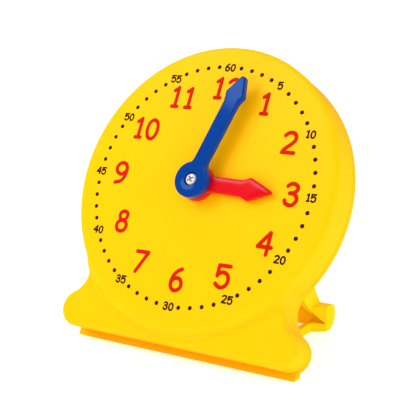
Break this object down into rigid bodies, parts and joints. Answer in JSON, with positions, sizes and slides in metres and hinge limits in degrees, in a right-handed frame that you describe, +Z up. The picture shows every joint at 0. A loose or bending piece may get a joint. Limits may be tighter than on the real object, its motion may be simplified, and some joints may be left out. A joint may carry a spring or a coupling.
{
  "type": "geared teaching clock",
  "caption": "Round moulded teaching clock on a lobed base with a fold-out stand leg; turning the minute hand drives the hour hand through gears behind the dial.",
  "frame": {"origin": "middle of the bounding box on the floor it stands on", "axes": "+Z up, +X to the right as seen from the dial side, -Y towards the viewer of the dial"},
  "size_m": [0.1006, 0.0662, 0.1022],
  "materials": {
    "yellow_shell": "moulded, glossy",
    "yellow_cover": "moulded, semi-gloss",
    "yellow_stand": "moulded, semi-gloss",
    "blue_hand": "moulded, glossy",
    "red_hand": "moulded, glossy",
    "white_gear": "moulded acetal",
    "red_gear": "moulded acetal",
    "white_plate": "moulded",
    "washer_plastic": "moulded",
    "brass_bush": "turned",
    "bright_screw": "bright nickel",
    "screw_steel": "zinc plated",
    "shaft_steel": "ground",
    "clip_steel": "spring steel"
  },
  "bodies": {
    "case": {"front_case": "yellow_shell", "rear_cover": "yellow_cover", "case_screws": "screw_steel", "gear_plate": "white_plate", "gear_plate_screws": "screw_steel", "dial_bush": "brass_bush", "reduction_axle": "shaft_steel", "reduction_spacer": "washer_plastic", "friction_washer": "clip_steel", "stand_hinge_pin": "shaft_steel"},
    "minute": {"minute_hand": "blue_hand", "hand_screw": "bright_screw", "minute_shaft": "shaft_steel", "minute_pinion": "white_gear", "shaft_clip": "clip_steel", "hand_washer": "washer_plastic"},
    "reduction": {"reduction_gear": "white_gear"},
    "hour": {"hour_hand": "red_hand", "hour_wheel": "red_gear"},
    "stand": {"stand_leg": "yellow_stand"}
  },
  "joints": [
    {"name": "minute_spin", "type": "hinge", "parent": "case", "child": "minute", "pos_m": [0, -0.0121, 0.05743], "axis": [0, -0.9038, 0.428], "continuous": true},
    {"name": "reduction_spin", "type": "hinge", "parent": "case", "child": "reduction", "pos_m": [0, -0.01852, 0.04388], "axis": [0, -0.9038, 0.428], "continuous": true},
    {"name": "hour_spin", "type": "hinge", "parent": "case", "child": "hour", "pos_m": [0, -0.0121, 0.05743], "axis": [0, -0.9038, 0.428], "continuous": true},
    {"name": "stand_fold", "type": "hinge", "parent": "case", "child": "stand", "pos_m": [0, 0.00276, 0.04209], "axis": [-1, 0, 0], "range_deg": [0, 56]}
  ],
  "couplings": [
    {"joint": "reduction_spin", "follows": "minute_spin", "ratio": -0.33333},
    {"joint": "hour_spin", "follows": "minute_spin", "ratio": 0.083333}
  ]
}
